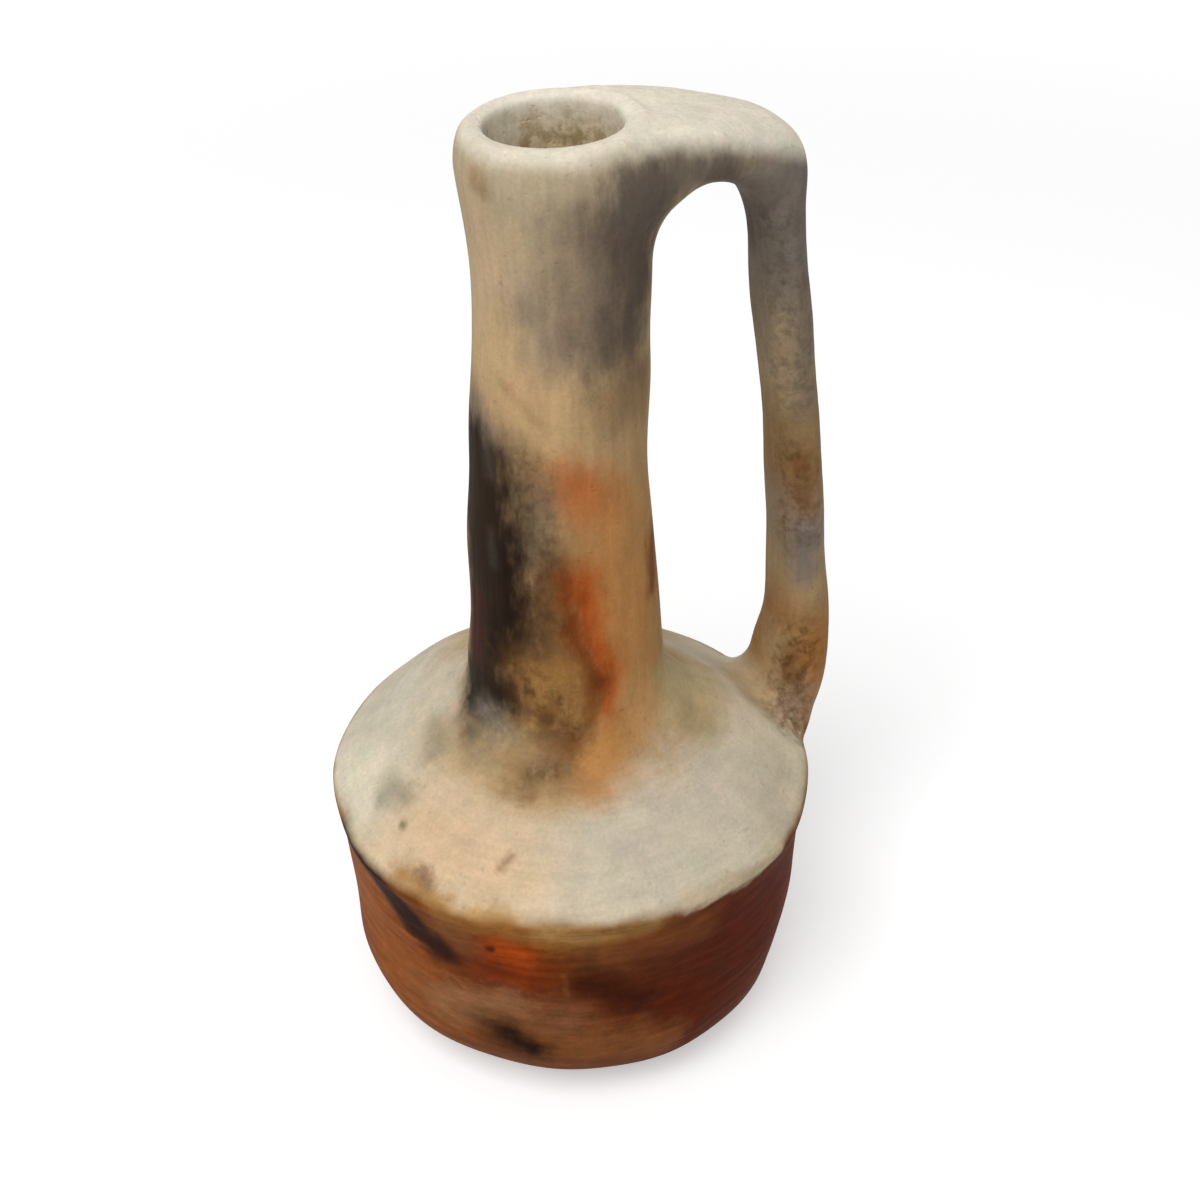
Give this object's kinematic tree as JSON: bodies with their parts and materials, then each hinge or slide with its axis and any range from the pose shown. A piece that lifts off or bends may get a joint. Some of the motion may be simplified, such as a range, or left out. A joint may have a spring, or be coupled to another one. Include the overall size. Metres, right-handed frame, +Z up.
{
  "type": "handled pottery jar",
  "caption": "Hand-built earthenware jar with a round-heeled bowl, conical shoulder, tall narrow neck, rounded lip and a strap handle from rim to shoulder.",
  "frame": {"origin": "middle of the flat foot, on the surface that the jar stands on", "axes": "+Z up along the neck, +X towards the handle, +Y completing the right-handed frame"},
  "size_m": [0.1656, 0.152, 0.2994],
  "materials": {
    "brown_clay": "burnished, unglazed, red-brown from the fire",
    "cream_clay": "burnished, unglazed, pale slip",
    "buff_clay": "burnished, unglazed, clouded by smoke",
    "grey_clay": "burnished, unglazed, greyed by smoke"
  },
  "bodies": {
    "root": {"base_pad": "brown_clay", "bowl_lower_course": "brown_clay", "bowl_middle_course": "brown_clay", "bowl_upper_course": "brown_clay", "shoulder_slab": "cream_clay", "neck_root_coil": "buff_clay", "neck_lower_course": "buff_clay", "neck_middle_course": "buff_clay", "neck_upper_course": "buff_clay", "rim_coil": "cream_clay", "handle_strap": "grey_clay", "handle_arch_wad": "grey_clay", "handle_foot_pad": "buff_clay"}
  },
  "joints": []
}
